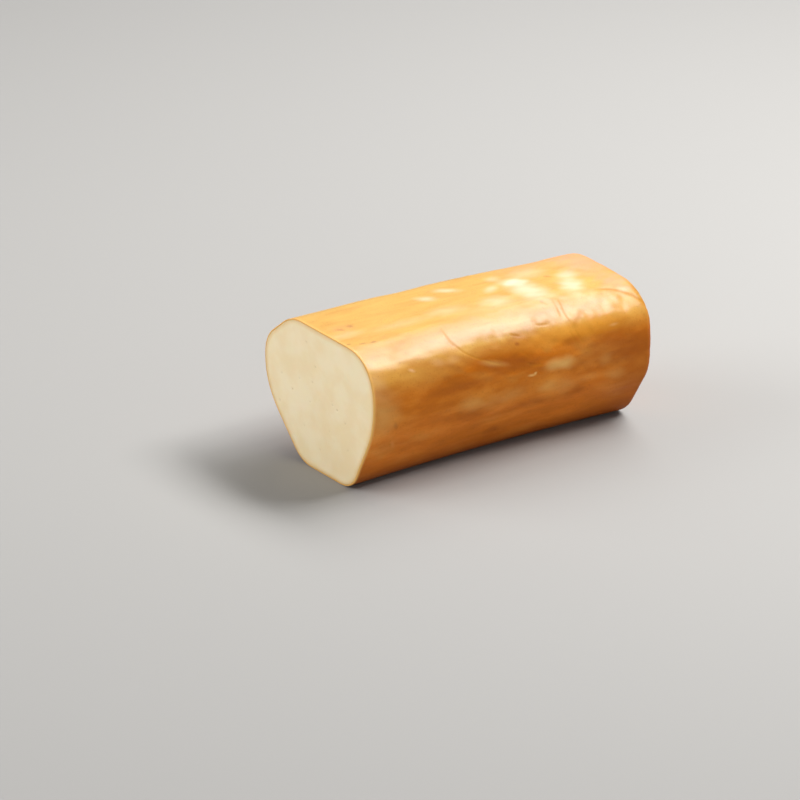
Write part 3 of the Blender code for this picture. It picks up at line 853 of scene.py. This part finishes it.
def smoked_rind():
    """Smoked stretched-curd rind: a thin, dense, slightly greasy skin. It is golden where smoke lay thin and amber
    where it lay thick, in clouds drawn out along the loaf, with faint streaks, fine dark pores, cream patches where
    the skin lifted off the smoke, and a soft satin gloss. Painted light lightens the low flanks and the lip and makes
    a pale sheen by the cut; painted shade darkens the foot and the closed end's rim, and with smoke, the grooves."""
    material, tree, shader = new_material("smoked_rind")
    place = add_node(tree, "TexCoord", "Object")
    stretched = add_node(tree, "Mapping", "Vector", {
        "Vector": place, "Scale": (1.0, STREAK_STRETCH, 1.0)})
    drawn_out = add_node(tree, "Mapping", "Vector", {
        "Vector": place, "Scale": (1.0, CLOUD_STRETCH, 1.0)})
    field = {
        name: add_node(tree, "Attribute", "Fac", attribute_name=name)
        for name in ("smoke", "low", "pale", "brown", "honey", "tan", "groove", "lip", "gloss")
    }
    clouds = add_node(tree, "TexNoise", "Fac", {
        "Vector": drawn_out, "Scale": 1 / CLOUD_SIZE, "Detail": 4.0, "Roughness": 0.52})
    grain = add_node(tree, "TexNoise", "Fac", {
        "Vector": drawn_out, "Scale": 1 / GRAIN_SIZE, "Detail": 3.0, "Roughness": 0.42})
    streaks = add_node(tree, "TexNoise", "Fac", {
        "Vector": stretched, "Scale": 1 / STREAK_SIZE, "Detail": 3.0})
    pores = add_node(tree, "TexNoise", "Fac", {
        "Vector": place, "Scale": 1 / PORE_SIZE, "Detail": 2.0})
    specks = add_node(tree, "TexVoronoi", "Distance", {
        "Vector": place, "Scale": 1 / SPECK_SPACING})

    # The boundary of gold and amber is pushed about by the grain on the crown and by the clouds on the flanks
    soft_clouds = add_node(tree, "MapRange", "Result", {
        "Value": clouds, "From Min": 0.30, "From Max": 0.70, "To Min": 0.24, "To Max": 0.76})
    unevenness = add_node(tree, "Mix", NUMBER_OUT, {
        FACTOR: field["smoke"], NUMBER_A: grain, NUMBER_B: soft_clouds,
    }, data_type="FLOAT")
    smoke_shift = add_node(tree, "Math", "Value", {
        0: unevenness, 1: -0.85, 2: 0.42}, operation="MULTIPLY_ADD")
    amber_share = add_node(tree, "Math", "Value", {
        0: field["smoke"], 1: smoke_shift}, operation="ADD", use_clamp=True)

    streak_most = add_node(tree, "MapRange", "Result", {
        "Value": field["smoke"], "To Min": 0.16, "To Max": 0.05})
    streak_share = add_node(tree, "MapRange", "Result", {
        "Value": streaks, "From Min": 0.35, "From Max": 0.68, "To Max": streak_most})
    pore_share = add_node(tree, "MapRange", "Result", {
        "Value": pores, "From Min": 0.58, "From Max": 0.80, "To Max": 0.34})
    speck_share = add_node(tree, "MapRange", "Result", {
        "Value": specks, "From Min": 0.14, "From Max": 0.04, "To Max": 0.12})
    mottle = add_node(tree, "MapRange", "Result", {
        "Value": clouds, "From Min": 0.30, "From Max": 0.70, "To Min": 0.60, "To Max": 1.36})
    mottle_share = add_node(tree, "MapRange", "Result", {
        "Value": field["smoke"], "To Min": 0.10, "To Max": 0.55})

    # Low on the flanks the amber is lightened: painted light
    amber = add_node(tree, "Mix", COLOUR_OUT, {
        FACTOR: field["low"], COLOUR_A: linear(RIND_AMBER), COLOUR_B: linear(RIND_AMBER_PAINTED_LIGHT),
    }, data_type="RGBA")
    # Cream and beige of the lifted skin, which also colour the painted reflection by the cut
    pale_skin_and_sheen = add_node(tree, "Mix", COLOUR_OUT, {
        FACTOR: field["smoke"], COLOUR_A: linear(RIND_CREAM), COLOUR_B: linear(RIND_BEIGE),
    }, data_type="RGBA")
    # From the bottom up, each layer covers the ones under it by its own share; the mottle multiplies them
    colour = linear(RIND_GOLD)
    for share, layer, blend_type in (
        (amber_share, amber, "MIX"),
        (streak_share, linear(RIND_STREAK), "MIX"),
        (pore_share, linear(RIND_BROWN), "MIX"),
        (mottle_share, mottle, "MULTIPLY"),
        (field["honey"], linear(RIND_HONEY), "MIX"),
        (speck_share, linear(RIND_BROWN), "MIX"),
        (field["brown"], linear(RIND_BROWN), "MIX"),
        # the grooves: smoke in them, and painted shade
        (field["groove"], linear(RIND_GROOVE), "MIX"),
        (field["pale"], pale_skin_and_sheen, "MIX"),
        (field["tan"], linear(RIND_TAN), "MIX"),
        # the lip: the cut rind's colour and a painted highlight
        (field["lip"], linear(RIND_LIP), "MIX"),
    ):
        colour = add_node(tree, "Mix", COLOUR_OUT, {
            FACTOR: share, COLOUR_A: colour, COLOUR_B: layer,
        }, data_type="RGBA", blend_type=blend_type)

    roughness = add_node(tree, "MapRange", "Result", {
        "Value": streaks, "From Min": 0.3, "From Max": 0.7, "To Min": 0.40, "To Max": 0.54})
    pore_bump = add_node(tree, "Bump", "Normal", {
        "Height": pores, "Distance": 0.00010, "Strength": 0.80})
    streak_bump = add_node(tree, "Bump", "Normal", {
        "Height": streaks, "Distance": 0.00025, "Strength": 0.36, "Normal": pore_bump})

    set_inputs(tree, shader, {
        "Base Color": colour, "Roughness": roughness, "Normal": streak_bump, "IOR": 1.46, "Specular IOR Level": 0.04,
        "Subsurface Weight": 0.05, "Subsurface Radius": (2.0, 0.9, 0.35), "Subsurface Scale": MM,
        "Coat Weight": field["gloss"], "Coat Roughness": 0.28, "Coat IOR": 1.46,
    })
    return material


def cheese_paste():
    """Stretched-curd paste, cut with a knife: dense, ivory, moist. Light goes a few millimetres in, the last
    millimetres under the rind are yellowed by smoke, and the face has a faint wet sheen."""
    material, tree, shader = new_material("cheese_paste")
    place = add_node(tree, "TexCoord", "Object")
    from_rind = add_node(tree, "Attribute", "Fac", attribute_name="from_rind")
    pit = add_node(tree, "Attribute", "Fac", attribute_name="pit")
    clouds = add_node(tree, "TexNoise", "Fac", {
        "Vector": place, "Scale": 1 / PASTE_CLOUD_SIZE, "Detail": 3.0})
    curd = add_node(tree, "TexNoise", "Fac", {
        "Vector": place, "Scale": 1 / CURD_SIZE, "Detail": 2.0})
    cloud_share = add_node(tree, "MapRange", "Result", {
        "Value": clouds, "From Min": 0.35, "From Max": 0.65}, interpolation_type="SMOOTHSTEP")
    edge_share = add_node(tree, "MapRange", "Result", {
        "Value": from_rind, "From Min": 3.0, "From Max": 0.0, "To Max": 0.6,
    }, interpolation_type="SMOOTHSTEP")
    # The pits are darkened: painted shade
    pit_shade_share = add_node(tree, "Math", "Value", {0: pit, 1: 0.45}, operation="MULTIPLY")
    colour = linear(PASTE_IVORY)
    for share, layer in (
        (cloud_share, linear(PASTE_CREAM)), (edge_share, linear(PASTE_EDGE)), (pit_shade_share, linear(PASTE_PIT_SHADE)),
    ):
        colour = add_node(tree, "Mix", COLOUR_OUT, {
            FACTOR: share, COLOUR_A: colour, COLOUR_B: layer,
        }, data_type="RGBA")
    bump = add_node(tree, "Bump", "Normal", {
        "Height": curd, "Distance": 0.00008, "Strength": 0.5})
    set_inputs(tree, shader, {
        "Base Color": colour, "Roughness": 0.46, "Normal": bump, "IOR": 1.44,
        "Subsurface Weight": 0.45, "Subsurface Radius": (1.8, 1.2, 0.7), "Subsurface Scale": MM,
        "Coat Weight": 0.12, "Coat Roughness": 0.30,
    })
    return material


# ---- Floor, lights and camera ----
FLOOR_SIZE = 12.0
FLOOR_COLOUR = "#A2A09D"
SKY_COLOUR, SKY_STRENGTH = "#F4F6FA", 0.22


def floor():
    """A plain pale floor."""
    half = FLOOR_SIZE / 2
    mesh = bpy.data.meshes.new("floor")
    mesh.from_pydata([(-half, -half, 0), (half, -half, 0), (half, half, 0), (-half, half, 0)], [], [(0, 1, 2, 3)])
    material, tree, shader = new_material("floor_card")
    set_inputs(tree, shader, {"Base Color": linear(FLOOR_COLOUR), "Roughness": 0.9, "Specular IOR Level": 0.2})
    mesh.materials.append(material)
    return placed("floor", mesh)


LOAF_MIDDLE = Vector((0, 0, HEIGHT / 2))


def soft_box(name, direction, distance, width, height, radiance):
    """A white rectangular area light that far from the loaf in that direction, turned to it, of even radiance."""
    light = bpy.data.lights.new(name, "AREA")
    light.shape = "RECTANGLE"
    light.size, light.size_y = width, height
    light.energy = radiance * math.pi * width * height
    lamp = placed(name, light)
    away = Vector(direction).normalized()
    lamp.location = LOAF_MIDDLE + away * distance
    lamp.rotation_euler = away.to_track_quat("Z", "Y").to_euler()
    lamp.visible_camera = False


# The bank of light behind and above the loaf: panels side by side along X, brightest at the right
BANK_DISTANCE, BANK_STEP, BANK_HEIGHT = 1.5, 0.42, 0.46
BANK_BEHIND, BANK_ABOVE = 0.56 * BANK_DISTANCE, 0.828 * BANK_DISTANCE
BANK_PLACES = (0.58, 0.16, -0.26, -0.68, -1.10)
BANK_RADIANCES = (26.0, 21.0, 13.5, 8.0, 4.5)
# The card and the fills: (name, direction, distance, width, height, radiance)
FILLS = (
    ("card_left", (-0.80, 0.56, 0.36), 1.8, 1.2, 0.8, 0.4),
    ("front_left", (-0.50, -0.80, 0.45), 1.8, 1.4, 1.0, 4.4),
    ("front_right", (0.80, -0.60, 0.10), 1.8, 1.0, 0.8, 3.2),
)


def studio():
    """Plain soft studio light: a wide bank behind and above, a card low behind on the left, weak fills in front."""
    world = bpy.data.worlds.new("studio")
    world.use_nodes = True
    background = world.node_tree.nodes["Background"]
    set_inputs(world.node_tree, background, {"Color": linear(SKY_COLOUR), "Strength": SKY_STRENGTH})
    bpy.context.scene.world = world
    for place, radiance in zip(BANK_PLACES, BANK_RADIANCES):
        distance = math.hypot(place, BANK_DISTANCE)
        soft_box("bank_behind", (place, BANK_BEHIND, BANK_ABOVE), distance, BANK_STEP, BANK_HEIGHT, radiance)
    for fill in FILLS:
        soft_box(*fill)


CAMERA_AZIMUTH, CAMERA_ELEVATION = 54.387, 22.206  # degrees: where the camera stands, seen from the loaf's middle
CAMERA_DISTANCE = 2.1025
CAMERA_AIM_RIGHT, CAMERA_AIM_UP = -0.0340, -0.0200  # how far off the loaf's middle it looks, in metres
FOCAL_PIXELS, FRAME_PIXELS, SENSOR_WIDTH = 3859.5, 800, 36.0  # the sensor in millimetres
CLIP_END = 30.0


def camera():
    """The camera at the photograph's angle: its place in spherical coordinates about the loaf's middle."""
    azimuth, elevation = math.radians(CAMERA_AZIMUTH), math.radians(CAMERA_ELEVATION)
    sideways = math.cos(elevation)
    back = Vector((math.sin(azimuth) * sideways, -math.cos(azimuth) * sideways, math.sin(elevation)))
    right = Vector((math.cos(azimuth), math.sin(azimuth), 0))
    up = back.cross(right)
    lens = bpy.data.cameras.new("camera")
    lens.sensor_width = SENSOR_WIDTH
    lens.lens = SENSOR_WIDTH * FOCAL_PIXELS / FRAME_PIXELS
    lens.clip_end = CLIP_END
    piece = placed("camera", lens)
    piece.location = LOAF_MIDDLE + back * CAMERA_DISTANCE
    aim = LOAF_MIDDLE + right * CAMERA_AIM_RIGHT + up * CAMERA_AIM_UP
    piece.rotation_euler = (piece.location - aim).to_track_quat("Z", "Y").to_euler()
    bpy.context.scene.camera = piece


def main():
    grid, normal, fields = loaf_grid()
    rind = loaf_rind(grid, normal, fields)
    rind.data.materials.append(smoked_rind())
    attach(rind, "root")
    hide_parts("scamorza_loaf")
    paste = loaf_paste(grid, normal)
    paste.data.materials.append(cheese_paste())
    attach(paste, "root")
    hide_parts("scamorza_loaf")
    floor()
    studio()
    camera()
    bpy.context.scene.view_settings.view_transform = "Standard"


main()
